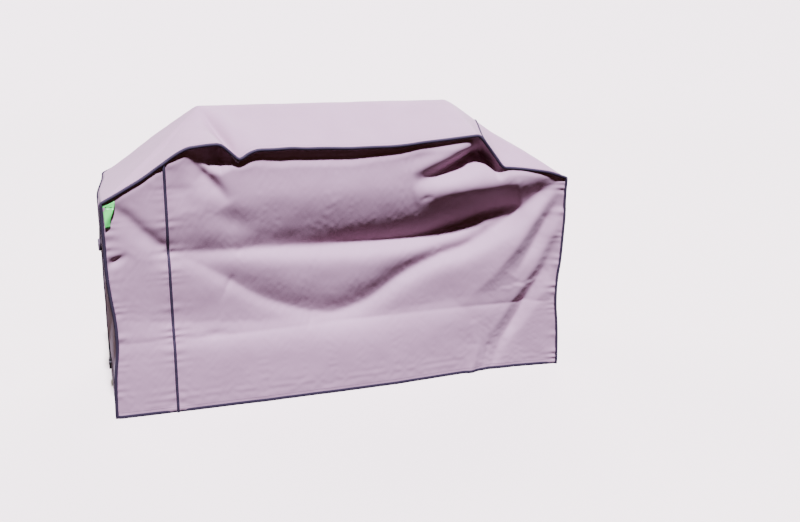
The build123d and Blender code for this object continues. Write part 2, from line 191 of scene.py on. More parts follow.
def roof_height(x, y):
    """Height of the roof: from the taut crown and its hips down to the eaves."""
    eave = np.where(y < 0, height_of(FRONT_EAVE, x), height_of(BACK_EAVE, x))
    end = np.where(x < 0, CROWN_LEFT, CROWN_RIGHT)
    beyond = np.clip((np.abs(x) - np.abs(end)) / (END_X - np.abs(end)), 0, 1)
    ridge = CROWN_Z - beyond * (CROWN_Z - SHELF_Z)
    rounded = (np.sqrt(y**2 + CROWN_ROUND**2) - CROWN_ROUND) / (math.hypot(BACK_Y, CROWN_ROUND) - CROWN_ROUND)
    across = np.clip((rounded - beyond) / np.maximum(1 - beyond, 0.02), 0, 1)
    return ridge + (eave - ridge) * across


def roof_depth(x, y):
    """How far the roof lies under its stretched shape."""
    deep = fold(x, y, [(-0.57, -0.05), (-0.525, -0.19), (-0.47, -0.34)],
                (0.0, 0.036, 0.032), 0.018, 0.060, 1.5)
    deep += fold(x, y, [(-0.52, -0.06), (-0.46, -0.2), (-0.40, -0.33)], (0.0, -0.014, -0.006), 0.05, 0.035)
    deep += fold(x, y, [(0.60, -0.03), (0.72, -0.13), (0.80, -0.30)], (0.0, 0.012, 0.006), 0.05, 0.05)
    deep += fold(x, y, [(-0.25, -0.05), (-0.15, -0.2), (-0.20, -0.33)], (0.0, 0.006, 0.004), 0.07, 0.07)
    deep += fold(x, y, [(0.20, -0.04), (0.12, -0.2), (0.22, -0.33)], (0.0, 0.006, 0.004), 0.07, 0.07)
    return deep


def fitted(x, y, z):
    """1 where the handles, straps and vents keep the cloth flat, falling to 0 where it hangs free."""
    handle = np.exp(-(y / 0.19) ** 4) * np.exp(-((z - 0.76) / 0.11) ** 4)
    strap = np.exp(-((z - 0.12) / 0.05) ** 4)
    vents = np.exp(-((np.abs(x) - VENT_X) / 0.17) ** 4) * np.exp(-((z - 0.99) / 0.10) ** 4)
    on_end = ease((np.abs(x) - END_X + 0.09) / 0.05)
    on_back = ease((y - BACK_Y + 0.11) / 0.05)
    return np.maximum(np.maximum(handle, strap) * on_end, vents * on_back)


def end_depth(y, z):
    """How far an end panel lies inside its stretched plane, kept flat round the handle and the strap."""
    deep = fold(y, z, [(-0.34, 0.89), (-0.22, 0.72), (-0.14, 0.50), (-0.10, 0.22)], (0.0, 0.016, 0.020, 0.0),
                0.05, 0.04)
    deep += fold(y, z, [(0.34, 0.89), (0.25, 0.70), (0.17, 0.46), (0.13, 0.2)], (0.0, 0.014, 0.018, 0.0),
                 0.04, 0.05)
    deep += 0.012 * bump((z - 0.45) / 0.20) * (1 - (y / BACK_Y) ** 2)
    return deep * (1 - fitted(END_X, y, z))


def back_depth(x, z):
    """How far the back panel lies inside its stretched plane, kept flat round the vents."""
    deep = fold(x, z, [(-0.98, 0.89), (-0.70, 0.66), (-0.30, 0.50), (0.10, 0.46), (0.45, 0.54), (0.75, 0.70),
                       (0.98, 0.89)], (0.0, 0.036, 0.036, 0.030, 0.036, 0.038, 0.0), 0.10, 0.05, 1.6)
    deep += fold(x, z, [(-0.62, 0.74), (-0.2, 0.70), (0.25, 0.71), (0.6, 0.76)], (0.0, 0.036, 0.036, 0.0),
                 0.08, 0.05, 1.6)
    deep += fold(x, z, [(-0.98, 0.88), (-0.86, 0.60), (-0.70, 0.30), (-0.6, 0.02)], (0.0, 0.018, 0.022, 0.0),
                 0.03, 0.04, 1.6)
    deep += fold(x, z, [(0.98, 0.88), (0.90, 0.62), (0.78, 0.36), (0.7, 0.05)], (0.0, 0.020, 0.018, 0.0),
                 0.04, 0.03, 1.6)
    deep -= 0.018 * ease((0.62 - z) / 0.6) * np.cos(x * 1.4)
    return deep * (1 - fitted(x, BACK_Y, z))


def cloth_box():
    """The whole skin as five welded grids in a box of height 1, each face numbered with its panel."""
    bm = bmesh.new()
    across, deep, tall = (round(s / CELL) for s in (2 * END_X, BACK_Y - FRONT_Y, 1.0))
    upright = Matrix.Rotation(math.pi / 2, 4, "X")
    turned = Matrix.Rotation(math.pi / 2, 4, "Z") @ upright
    half = Vector((0, 0, 0.5))
    walls = [(across, tall, Matrix.Translation(half + Vector((0, FRONT_Y, 0))) @ upright, END_X, 0.5,
              lambda x: 1 if x < FRONT_SEAM_X else 0),
             (across, tall, Matrix.Translation(half + Vector((0, BACK_Y, 0))) @ upright, END_X, 0.5,
              lambda x: 3 if x > BACK_SEAM_X else 2),
             (deep, tall, Matrix.Translation(half + Vector((-END_X, 0, 0))) @ turned, BACK_Y, 0.5,
              lambda x: 4),
             (deep, tall, Matrix.Translation(half + Vector((END_X, 0, 0))) @ turned, BACK_Y, 0.5,
              lambda x: 5),
             (across, deep, Matrix.Translation((0, 0, 1)), END_X, BACK_Y,
              lambda x: 7 if x > ROOF_SEAM_X else 6)]
    for columns, rows, place, wide, high, panel_at in walls:
        grid = bmesh.ops.create_grid(bm, x_segments=columns, y_segments=rows, size=1.0)
        bmesh.ops.scale(bm, vec=(wide, high, 1), verts=grid["verts"])
        bmesh.ops.transform(bm, matrix=place, verts=grid["verts"])
        for f in {f for v in grid["verts"] for f in v.link_faces}:
            f.material_index = panel_at(f.calc_center_median().x)
    bmesh.ops.remove_doubles(bm, verts=bm.verts, dist=CELL / 4)
    bmesh.ops.recalc_face_normals(bm, faces=bm.faces)
    return bm


def hang(bm):
    """Move the box of grids to the hanging cloth's shape; its flat pattern is its UV, its hold a weight."""
    bm.verts.ensure_lookup_table()
    x, y, share = np.array([v.co for v in bm.verts]).T
    pitch = 2 * END_X / round(2 * END_X / CELL)
    # the grid's nearest column moves onto each seam
    for seam in (FRONT_SEAM_X, BACK_SEAM_X, ROOF_SEAM_X):
        column = round((seam + END_X) / pitch) * pitch - END_X
        x = x + (seam - column) * bump((x - column) / (2 * CELL))
    edge = 1e-4
    front, back = y < FRONT_Y + edge, y > BACK_Y - edge
    ends, top = np.abs(x) > END_X - edge, share > 1 - edge
    # the roof seam swings out to the right between its two eaves
    x = x + np.where(top, 0.055 * bump((x - ROOF_SEAM_X) / 0.10) * ease(1 - np.abs(y) / BACK_Y), 0)
    eave = np.where(y < 0, height_of(FRONT_EAVE, x), height_of(BACK_EAVE, x))
    flat_z = HEM_Z + share * (np.where(ends, SHELF_Z, eave) - HEM_Z)
    z = np.where(top, roof_height(x, y) - roof_depth(x, y), flat_z)
    # walls move straight in or out, and the roof's edges follow the front eave
    under = np.minimum(1, (1 - share) / 0.02)
    corner = np.minimum(1, (END_X - np.abs(x)) / 0.02)
    lip = lip_out(x) * ease((share - 0.93) / 0.07)
    new_y = np.where(front, y + front_depth(x, z) * corner * under + lip, y)
    new_y = np.where(top & ~front, y + lip_out(x) * ease((FRONT_Y + 0.25 - y) / 0.25), new_y)
    new_y = np.where(back, y - back_depth(x, z) * corner * under, new_y)
    inward = edge_bow(y, z) * ease(1 - (END_X - np.abs(x)) / 0.30) * (1 - top)
    inward += np.where(ends, end_depth(y, z) * under * np.minimum(1, (BACK_Y - np.abs(y)) / 0.03), 0)
    new_x = x - np.sign(x) * inward
    # the left end's back top corner has slipped inward over the grill
    new_x += 0.030 * ease((y + 0.12) / 0.40) * ease((z - 0.80) / 0.10) * ease((-x - 0.65) / 0.36)

    # what the grill and the seams hold while the rest of the cloth drapes
    hold = np.full(len(x), LOOSE)
    hold[top] = 0.8
    hold[share < 0.02] = 0.9
    outline = (END_X - np.abs(x) < 0.03) & (BACK_Y - np.abs(y) < 0.03)
    hold[outline | (top & (front | back))] = 0.96
    crown = np.where(x < 0, -CROWN_LEFT, CROWN_RIGHT)
    hip = np.clip((np.abs(x) - crown) / (END_X - crown), 0, 1)
    hold[top & (np.abs(np.abs(y) / BACK_Y - hip) < 0.08)] = 0.96
    fittings = ends & (((np.abs(y) < 0.18) & (np.abs(z - 0.76) < 0.10)) | (np.abs(z - 0.12) < 0.03))
    vents = back & (np.abs(np.abs(x) - VENT_X) < 0.15) & (np.abs(z - 0.99) < 0.08)
    hold[fittings | vents] = 1.0

    weight = bm.verts.layers.deform.verify()
    pattern = bm.loops.layers.uv.new("UVMap")
    for v, a, b, c, h in zip(bm.verts, new_x, new_y, z, hold):
        v.co = (a, b, c)
        v[weight][0] = h
    for f in bm.faces:
        if f.material_index in ROOF:
            first, second = x, y
        elif f.material_index in ENDS:
            first, second = y, flat_z
        else:
            first, second = x, flat_z
        for loop in f.loops:
            i = loop.vert.index
            loop[pattern].uv = (first[i], second[i])


def drape(piece):
    """A short cloth simulation: slightly oversize cloth, held softly to the shape it was given."""
    cloth = piece.modifiers.new("drape", "CLOTH")
    s = cloth.settings
    s.quality = 5
    s.mass = 0.4
    s.tension_stiffness = 20
    s.compression_stiffness = 20
    s.shear_stiffness = 8
    s.bending_stiffness = 0.5
    s.tension_damping = 10
    s.compression_damping = 10
    s.air_damping = 3
    s.vertex_group_mass = "hold"
    s.pin_stiffness = 2.0
    s.shrink_min = -0.007
    s.effector_weights.gravity = 0.3
    cloth.collision_settings.use_collision = False
    cloth.collision_settings.use_self_collision = False
    cloth.point_cache.frame_start = 1
    cloth.point_cache.frame_end = DRAPE_FRAMES
    for frame_number in range(1, DRAPE_FRAMES + 1):
        bpy.context.scene.frame_set(frame_number)


skin_bm = cloth_box()
hang(skin_bm)
skin_mesh = bpy.data.meshes.new("skin")
skin_bm.to_mesh(skin_mesh)
skin_bm.free()
skin = bpy.data.objects.new("skin", skin_mesh)
skin.vertex_groups.new(name="hold")
bpy.context.scene.collection.objects.link(skin)
# one material slot for each panel, so that faces keep their panel's number
for _ in PANELS:
    skin_mesh.materials.append(None)
drape(skin)
finer = skin.modifiers.new("finer", "SUBSURF")
finer.levels = finer.render_levels = 1
draped_mesh = bpy.data.meshes.new_from_object(skin.evaluated_get(bpy.context.evaluated_depsgraph_get()))
bpy.data.objects.remove(skin)
bpy.context.scene.frame_set(1)

# ---- Creases and puckers of the cloth ---------------------------------------------------------------
# The finer marks of sewn and packed cloth: the front tucked in under its overhanging eave, puckers where
# the seams gather it, one straight crease from the box it was folded in, and small pinches.


def tuck_under_eave(u, drop):
    """How far the front panel lies in just under its eave, drop metres below it."""
    shade = np.interp(u, TUCK_U, TUCK_HEIGHT)
    slope = TUCK_SLOPE * (1 + 0.7 * bump((u + 0.55) / 0.07) + 0.5 * bump((u - 0.65) / 0.05))
    return slope * shade * ease(drop / 0.010) * (1 - ease((drop - shade) / (0.8 * shade + 0.02)))


def pucker(distance, v, strength):
    """Short wrinkles that a gathered seam throws out sideways, unevenly spaced along it."""
    phase = 2 * math.pi * (v / 0.046 + 0.55 * np.sin(v * 21) + 0.25 * np.sin(v * 53 + 1))
    size = 0.6 + 0.4 * np.sin(v * 17 + 2)
    return strength * size * np.sin(phase) * np.exp(-distance / 0.030) * ease(distance / 0.012) * 1.5


def roof_creases(x, y):
    """Depth of the roof's crisp creases over the hood's left corner and along the front slope."""
    deep = fold(x, y, [(-0.585, -0.03), (-0.545, -0.14), (-0.505, -0.24), (-0.475, -0.34)],
                (0.006, 0.018, 0.022, 0.020), 0.008, 0.034, 1.3)
    deep += fold(x, y, [(-0.90, -0.30), (-0.74, -0.20), (-0.62, -0.06)], (0.0, 0.005, 0.0), 0.012, 0.020, 1.4)
    deep += fold(x, y, [(-0.10, -0.33), (-0.06, -0.2), (-0.12, -0.06)],
                 (0.004, 0.003, 0.0), 0.015, 0.030, 1.4)
    deep += fold(x, y, [(0.66, -0.06), (0.76, -0.16), (0.90, -0.28)], (0.0, 0.006, 0.0), 0.012, 0.025, 1.4)
    deep += fold(x, y, [(-0.50, 0.33), (-0.55, 0.18), (-0.58, 0.05)], (0.012, 0.008, 0.0), 0.030, 0.010, 1.3)
    deep += fold(x, y, [(0.45, 0.33), (0.50, 0.18), (0.54, 0.05)], (0.012, 0.008, 0.0), 0.010, 0.030, 1.3)
    return deep


def front_creases(u, v):
    """Depth of the front's fine creases at (u, v) on its flat pattern."""
    deep = tuck_under_eave(u, height_of(FRONT_EAVE, u) - v)
    deep += pucker(np.abs(u - FRONT_SEAM_X), v, 0.0030)
    deep += pucker(END_X - u, v + 0.3, 0.0034)
    deep += pucker(END_X + u, v + 0.7, 0.0026)
    packing = 0.320 + 0.006 * np.sin(u * 3.1)
    deep += 0.0072 * np.exp(-np.abs(v - packing) / 0.022) * (0.75 + 0.25 * np.sin(u * 9 + 1))
    for points in PINCHES:
        deep += fold(u, v, points, (0.0, 0.005, 0.0), 0.010, 0.014, 1.4)
    deep += (0.0016 * np.exp(-np.abs(u - 0.02 - 0.03 * v) / 0.018)
             * ease((0.62 - v) / 0.2) * ease((v - 0.30) / 0.1))
    return deep


def on_pattern(panels):
    """Which of the cloth's vertices lie on some panels, and their two places on the flat pattern."""
    chosen = np.repeat(np.isin(panel_number, list(panels)), 4)
    at = np.full((count, 2), np.nan)
    at[corners[chosen]] = pattern_uv.reshape(-1, 2)[chosen]
    points = ~np.isnan(at[:, 0])
    return points, *at[points].T


# Height of the shaded tuck under the front eave, from the left shelf corner to the right one.
TUCK_U = (-1.015, -0.76, -0.70, -0.67, -0.627, -0.59, -0.545, -0.50, -0.465, -0.43, -0.30, 0.0, 0.10, 0.22,
          0.30, 0.48, 0.585, 0.615, 0.66, 0.69, 0.72, 1.015)
TUCK_HEIGHT = (0.006, 0.009, 0.012, 0.010, 0.036, 0.058, 0.064, 0.036, 0.026, 0.024, 0.036, 0.034, 0.028,
               0.024, 0.016, 0.020, 0.022, 0.040, 0.042, 0.022, 0.008, 0.006)
TUCK_SLOPE = 0.46              # depth of the tuck for its height
# Short pinches in the front, each by its line.
PINCHES = [[(-0.499, 0.653), (-0.484, 0.666), (-0.467, 0.680)],
           [(-0.569, 0.454), (-0.535, 0.525), (-0.507, 0.570)],
           [(0.30, 0.835), (0.33, 0.852), (0.37, 0.858)],
           [(-0.20, 0.30), (-0.185, 0.34), (-0.18, 0.38)],
           [(0.575, 0.03), (0.60, 0.14), (0.59, 0.24)],
           [(0.64, 0.02), (0.665, 0.12), (0.66, 0.22)],
           [(-0.999, 0.655), (-0.975, 0.672), (-0.95, 0.690)],
           [(-0.65, 0.33), (-0.60, 0.326), (-0.54, 0.329)]]
count = len(draped_mesh.vertices)
place = np.empty(count * 3, np.float32)
outward = np.empty(count * 3, np.float32)
draped_mesh.vertices.foreach_get("co", place)
draped_mesh.vertices.foreach_get("normal", outward)
place, outward = place.reshape(-1, 3), outward.reshape(-1, 3)
corners = np.empty(len(draped_mesh.loops), np.int32)
draped_mesh.loops.foreach_get("vertex_index", corners)
pattern_uv = np.empty(len(draped_mesh.loops) * 2, np.float32)
draped_mesh.uv_layers["UVMap"].data.foreach_get("uv", pattern_uv)
panel_number = np.empty(len(draped_mesh.polygons), np.int32)
draped_mesh.polygons.foreach_get("material_index", panel_number)
front_points, u, v = on_pattern(FRONT)
place[front_points, 1] += front_creases(u, v) * np.minimum(1, (END_X - np.abs(u)) / 0.012)
roof_points, x, y = on_pattern(ROOF)
place[roof_points, 2] -= roof_creases(x, y) * np.minimum(1, (BACK_Y - np.abs(y)) / 0.008)
# the whole cloth is a little uneven, in waves of about 11 and 4 cm
crumple = np.array([0.0020 * noise.noise(Vector(p) * 9) + 0.0006 * noise.noise(Vector(p) * 24)
                    for p in place])
crumple *= 1 - fitted(*place.T)
place += outward * crumple[:, None].astype(np.float32)
draped_mesh.vertices.foreach_set("co", place.ravel())
draped_mesh.update()
whole = bmesh.new()
whole.from_mesh(draped_mesh)
bpy.data.meshes.remove(draped_mesh)
whole.normal_update()

# ---- The eight panels -------------------------------------------------------------------------------
# 600-denier polyester Oxford, dyed mauve-taupe, with a dull polyurethane coating on its back. Each panel
# is cut from the draped skin along its seams, and the cloth and its coating are given their thickness.
CLOTH_THICK = 0.0012
THREAD_PAIR = 0.0030           # two threads of the weave are 1.1 mm across, drawn coarser so that they show


def linear(code):
    """An sRGB hex colour as linear red, green, blue and alpha."""
    parts = [int(code[i:i + 2], 16) / 255 for i in (1, 3, 5)]
    return (*[c / 12.92 if c <= 0.04045 else ((c + 0.055) / 1.055) ** 2.4 for c in parts], 1.0)


def add_node(material, kind, inputs, **settings):
    """One shader node: its settings, and its inputs as values or as links from other nodes."""
    made = material.node_tree.nodes.new(kind)
    for name, value in settings.items():
        setattr(made, name, value)
    for name, value in inputs.items():
        if isinstance(value, bpy.types.NodeSocket):
            material.node_tree.links.new(value, made.inputs[name])
        else:
            made.inputs[name].default_value = value
    return made


def new_finish(name, colour, roughness, **sockets):
    """A material, with the values that are the same all over the surface."""
    material = bpy.data.materials.new(name)
    material.use_nodes = True
    shader = material.node_tree.nodes["Principled BSDF"]
    shader.inputs["Base Color"].default_value = linear(colour)
    shader.inputs["Roughness"].default_value = roughness
    for socket, value in sockets.items():
        shader.inputs[socket.replace("_", " ")].default_value = value
    return material


def bands(material, coordinates, period, direction):
    """Even ridges of a given period in metres along one direction."""
    return add_node(material, "ShaderNodeTexWave", {"Vector": coordinates, "Scale": math.pi / 10 / period},
                    wave_type="BANDS", bands_direction=direction).outputs["Fac"]


def feed(material, socket, output):
    """Let a node drive one of the shader's sockets."""
    material.node_tree.links.new(output, material.node_tree.nodes["Principled BSDF"].inputs[socket])


def woven_polyester(name, light, dark, roughness):
    """Matte woven cloth with a faint coated sheen, crinkled, and faded unevenly where it lay in the sun."""
    material = new_finish(name, light, roughness, Sheen_Weight=0.12, Sheen_Roughness=0.5,
                          Specular_IOR_Level=0.35)
    pattern = add_node(material, "ShaderNodeTexCoord", {}).outputs["UV"]
    warp, weft = bands(material, pattern, THREAD_PAIR, "X"), bands(material, pattern, THREAD_PAIR, "Y")
    weave = add_node(material, "ShaderNodeMath", {0: warp, 1: weft}, operation="MULTIPLY")
    fade = add_node(material, "ShaderNodeTexNoise", {"Vector": pattern, "Scale": 5.0, "Detail": 4.0})
    shade = add_node(material, "ShaderNodeMixRGB", {"Fac": fade.outputs["Fac"], "Color1": linear(dark),
                                                    "Color2": linear(light)})
    feed(material, "Base Color", shade.outputs["Color"])
    crinkle = add_node(material, "ShaderNodeTexNoise", {"Vector": pattern, "Scale": 16.0, "Detail": 5.0,
                                                        "Roughness": 0.55}, noise_type="RIDGED_MULTIFRACTAL")
    creased = add_node(material, "ShaderNodeBump", {"Height": crinkle.outputs["Fac"], "Strength": 0.3,
                                                    "Distance": 0.0011})
    threads = add_node(material, "ShaderNodeBump", {"Height": weave.outputs["Value"], "Strength": 0.35,
                                                    "Distance": 0.0003, "Normal": creased.outputs["Normal"]})
    feed(material, "Normal", threads.outputs["Normal"])
    return material


def add_piece(name, mesh, finish, body, slot, *stands_for):
    """A finished piece: smooth, in its finish, riding on its body in place of its CAD nodes."""
    piece = bpy.data.objects.new(name, mesh)
    bpy.context.scene.collection.objects.link(piece)
    mesh.materials.clear()
    mesh.materials.append(finish)
    for f in mesh.polygons:
        f.use_smooth = True
    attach(piece, body)
    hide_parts(*stands_for)
    return piece


def mesh_of(bm, name):
    """A bmesh as a new mesh, and the bmesh let go."""
    mesh = bpy.data.meshes.new(name)
    bm.to_mesh(mesh)
    bm.free()
    return mesh


# The cover's cloth is a dull mauve-taupe, a little darker where it has kept its dye.
cover_cloth = woven_polyester("polyester_oxford", "#B08F9E", "#A2818F", 0.66)
# The coating is dull grey-brown and nearly smooth, and is seen only inside.
coating = new_finish("polyurethane_coating", "#8C7F86", 0.5)
vent_window = [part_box(side + "_vent_mesh") for side in ("left", "right")]
for number, name in enumerate(PANELS):
    bm = whole.copy()
    bmesh.ops.delete(bm, geom=[f for f in bm.faces if f.material_index != number], context="FACES")
    if name == "back_main_panel":
        through = [f for f in bm.faces for low, high in vent_window
                   if low.x < f.calc_center_median().x < high.x and low.z < f.calc_center_median().z < high.z]
        bmesh.ops.delete(bm, geom=through, context="FACES")
    for f in bm.faces:
        f.material_index = 0
    panel = add_piece(name.replace("panel", "cloth"), mesh_of(bm, name), cover_cloth, "cover", "cover_cloth",
                      name)
    panel.data.materials.append(coating)
    thickness = panel.modifiers.new("thickness", "SOLIDIFY")
    thickness.thickness = CLOTH_THICK
    thickness.offset = -1
    thickness.material_offset = 1

# ---- Piping in the seams ----------------------------------------------------------------------------
# Dark polyester tape round a filler cord, sewn between the panels so that a round edge stands out: all
# round the front's and the back's outline, down one seam of each, and across the roof at the right.
OUTLINE_RADIUS = 0.0072        # of the round edge, filler cord and tape together
SEAM_RADIUS = 0.0062
ROOF_RADIUS = 0.0045
RIB = 0.0024                   # the tape's ribs are 0.8 mm apart, drawn coarser so that they show


def ribbed_tape(name, colour, roughness):
    """Dull narrow-woven tape with fine cross ribs, and dust on it here and there."""
    material = new_finish(name, colour, roughness, Specular_IOR_Level=0.3)
    place = add_node(material, "ShaderNodeTexCoord", {}).outputs["Object"]
    ribs = add_node(material, "ShaderNodeMath", {0: bands(material, place, RIB, "DIAGONAL"),
                                                 1: bands(material, place, RIB, "Z")}, operation="ADD")
    raised = add_node(material, "ShaderNodeBump", {"Height": ribs.outputs["Value"], "Strength": 0.4,
                                                   "Distance": 0.0003})
    feed(material, "Normal", raised.outputs["Normal"])
    dust = add_node(material, "ShaderNodeTexNoise", {"Vector": place, "Scale": 12.0, "Detail": 3.0})
    rough = add_node(material, "ShaderNodeMapRange", {"Value": dust.outputs["Fac"],
                                                      "To Min": roughness - 0.12,
                                                      "To Max": roughness + 0.12})
    feed(material, "Roughness", rough.outputs["Result"])
    return material


def in_order(edges):
    """The vertices along joined edges, from one end to the other, or once round a loop."""
    beside = {}
    for e in edges:
        for v in e.verts:
            beside.setdefault(v, []).append(e.other_vert(v))
    line = [next((v for v in beside if len(beside[v]) == 1), edges[0].verts[0])]
    while True:
        ahead = [v for v in beside[line[-1]] if v not in line[-2:] and v != line[0]]
        if not ahead:
            return line
        line.append(ahead[0])


def seam_between(one_side, other_side):
    """The points of the seam between two groups of panels, in order along it."""
    joined = [e for e in whole.edges if len(e.link_faces) == 2
              and sum(f.material_index in one_side for f in e.link_faces) == 1
              and sum(f.material_index in other_side for f in e.link_faces) == 1]
    return [v.co for v in in_order(joined)]


def length_along(points, radius, width=0.0, closed=False):
    """A mesh that follows points: a round cord, or with a width a flat tape standing upright."""
    curve = bpy.data.curves.new("length", "CURVE")
    curve.dimensions = "3D"
    curve.twist_mode = "Z_UP" if width else "MINIMUM"
    spline = curve.splines.new("POLY")
    spline.points.add(len(points) - 1)
    for point, at in zip(spline.points, points):
        point.co = (*at, 1.0)
    spline.use_cyclic_u = closed
    curve.extrude = width / 2
    curve.bevel_depth = radius
    curve.bevel_resolution = 2
    curve.use_fill_caps = not closed
    shape = bpy.data.objects.new("length", curve)
    mesh = bpy.data.meshes.new_from_object(shape)
    bpy.data.objects.remove(shape)
    return mesh


# The piping's tape is near black with a plum cast.
trim_tape = ribbed_tape("polyester_piping", "#2E2634", 0.72)
for name, points, radius in (("front_outline", seam_between(FRONT, ENDS | ROOF), OUTLINE_RADIUS),
                             ("back_outline", seam_between(BACK, ENDS | ROOF), OUTLINE_RADIUS),
                             ("front_seam", seam_between({0}, {1}), SEAM_RADIUS),
                             ("back_seam", seam_between({2}, {3}), SEAM_RADIUS),
                             ("top_seam", seam_between({6}, {7}), ROOF_RADIUS)):
    add_piece(name + "_cord", length_along(points, radius), trim_tape, "cover", "trim_cloth",
              name + "_piping")

# ---- Hem --------------------------------------------------------------------------------------------
# The same ribbed polyester tape, folded over the cloth's lower edge and sewn through, all round. It rests
# on the ground and keeps the edge from fraying.
HEM_TAPE = 0.0105              # height of the tape between its two rounded edges
HEM_RADIUS = 0.0019            # half its thickness
hem_line = [v.co.copy() for v in in_order([e for e in whole.edges if len(e.link_faces) == 1])]
for point in hem_line:
    point.z = HEM_TAPE / 2 + HEM_RADIUS
add_piece("hem_tape", length_along(hem_line, HEM_RADIUS, HEM_TAPE, closed=True), trim_tape, "cover",
          "trim_cloth", "hem_binding")

# ---- Topstitching -----------------------------------------------------------------------------------
# Bonded polyester thread in a 5 mm lockstitch: one row round the hem's turned-up edge, and one row beside
# each piped seam but the one across the roof, where the seam allowance is sewn down flat.
STITCH = 0.0042                # length of one stitch
STITCH_PITCH = 0.0055
THREAD = 0.0011                # 0.4 mm thread, drawn thicker so that it shows
SEAM_ALLOWANCE = 0.011
HEM_FOLD = 0.026               # height of the hem's turned-up edge
SEAM_ROW_TOP = 1.02            # the rows beside the seams end here, short of the eave
SEW_STEP = 0.01                # spacing of the points that a row follows over the cloth
OUT_X, OUT_Y, OUT_Z = 1.3, 0.6, 1.35      # clear of the cover on every side
# The thread is a shade darker than the cloth, smooth, and catches a little light.
thread_finish = new_finish("polyester_thread", "#8A6F84", 0.5)
cloth_tree = BVHTree.FromBMesh(whole)


def on_cloth(points, toward, lift=0.0006, reach=0.34):
    """Where points strike the cloth when they are sent toward it, just above its surface."""
    hits = [cloth_tree.ray_cast(Vector(p), Vector(toward), reach) for p in points]
    return [at + normal * lift for at, normal, _, _ in hits if at is not None]


def sew(bm, points):
    """A row of stitches at an even pitch along points."""
    row = bmesh.new()
    line = np.array(points)
    steps = np.linalg.norm(np.diff(line, axis=0), axis=1)
    run = np.concatenate([[0], np.cumsum(steps)])
    for start in np.arange(STITCH_PITCH, run[-1], STITCH_PITCH):
        a, b = (Vector([np.interp(s, run, line[:, k]) for k in range(3)]) for s in (start - STITCH, start))
        along = b - a
        turn = along.to_track_quat("X", "Z").to_matrix().to_4x4()
        size = Matrix.Diagonal((along.length, THREAD, THREAD, 1))
        bmesh.ops.create_icosphere(row, subdivisions=1, radius=0.5,
                                   matrix=Matrix.Translation((a + b) / 2) @ turn @ size)
    stitched = mesh_of(row, "row")
    bm.from_mesh(stitched)
    bpy.data.meshes.remove(stitched)


stitches = bmesh.new()
across = np.arange(-END_X + 2 * SEW_STEP, END_X - SEW_STEP, SEW_STEP)
deep = np.arange(FRONT_Y + 2 * SEW_STEP, BACK_Y - SEW_STEP, SEW_STEP)
tall = np.arange(HEM_FOLD, SHELF_Z - 2 * SEW_STEP, SEW_STEP)
to_seam_top = np.arange(HEM_FOLD, SEAM_ROW_TOP, SEW_STEP)
for back, seam_x in ((-1, FRONT_SEAM_X - SEAM_ALLOWANCE), (1, BACK_SEAM_X + SEAM_ALLOWANCE)):
    sew(stitches, on_cloth([(x, back * OUT_Y, HEM_FOLD) for x in across], (0, -back, 0)))
    sew(stitches, on_cloth([(seam_x, back * OUT_Y, z) for z in to_seam_top], (0, -back, 0)))
    for side in (-1, 1):
        edge = [(side * (END_X - SEAM_ALLOWANCE - edge_bow(back * BACK_Y, z)), back * OUT_Y, z) for z in tall]
        sew(stitches, on_cloth(edge, (0, -back, 0)))
for side in (-1, 1):
    sew(stitches, on_cloth([(side * OUT_X, y, HEM_FOLD) for y in deep], (-side, 0, 0)))
for y in (FRONT_Y + SEAM_ALLOWANCE, BACK_Y - SEAM_ALLOWANCE):
    sew(stitches, on_cloth([(x, y, OUT_Z) for x in across], (0, 0, -1), reach=0.5))
add_piece("topstitching", mesh_of(stitches, "topstitching"), thread_finish, "cover", "trim_cloth")

# ---- Corner tag -------------------------------------------------------------------------------------
# A loop of bright green satin ribbon sewn into the corner seam under the left front shelf corner. It
# hangs loose from its sewn end, a little twisted, and carries no lettering. The sewn end stays with the
# cover, and the loop below it lifts.
TAG_WIDTH = 0.046
TAG_GAP = 0.0016               # between the loop's two limbs
TAG_ROOT = 0.010               # the ribbon is sewn in this far above the line it swings about,
TAG_SLANT = 0.020              # and this much farther at its right edge, along the sloping seam


def satin_ribbon(name, colour):
    """Satin polyester ribbon: smooth and bright, with the sheen running along its floats."""
    material = new_finish(name, colour, 0.42, Sheen_Weight=0.3, Sheen_Roughness=0.3)
    place = add_node(material, "ShaderNodeTexCoord", {}).outputs["Object"]
    floats = add_node(material, "ShaderNodeBump", {"Height": bands(material, place, 0.0016, "Z"),
                                                   "Strength": 0.3, "Distance": 0.0002})
    feed(material, "Normal", floats.outputs["Normal"])
    return material


low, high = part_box("corner_tag")
tag_bm = bmesh.new()
bmesh.ops.create_grid(tag_bm, x_segments=8, y_segments=24, size=0.5)
for v in tag_bm.verts:
    wide, down = v.co.x + 0.5, 0.5 - v.co.y
    half_turn = math.pi * min(max((down - 0.46) / 0.08, 0), 1)
    drop = min(down, 1 - down) * 2
    narrow = 1 - 0.55 * ease(drop * 1.1)
    v.co = (low.x + TAG_WIDTH * wide * narrow + 0.004 * drop,
            low.y + 0.0002 + TAG_GAP * (down > 0.5) * math.sin(half_turn / 2)
            - 0.010 * (1 - wide) * ease(drop) * 0.5 + 0.003 * math.sin(6 * drop + 2 * wide),
            high.z + TAG_ROOT + TAG_SLANT * wide * (1 - drop) - (high.z + TAG_ROOT - low.z) * drop * 0.98)
bmesh.ops.recalc_face_normals(tag_bm, faces=tag_bm.faces)
ribbon = satin_ribbon("satin_ribbon", "#4FE062")
sewn_end = tag_bm.copy()
for bm, above in ((tag_bm, False), (sewn_end, True)):
    bmesh.ops.bisect_plane(bm, geom=bm.verts[:] + bm.edges[:] + bm.faces[:], plane_co=(0, 0, high.z),
                           plane_no=(0, 0, 1), clear_inner=above, clear_outer=not above)
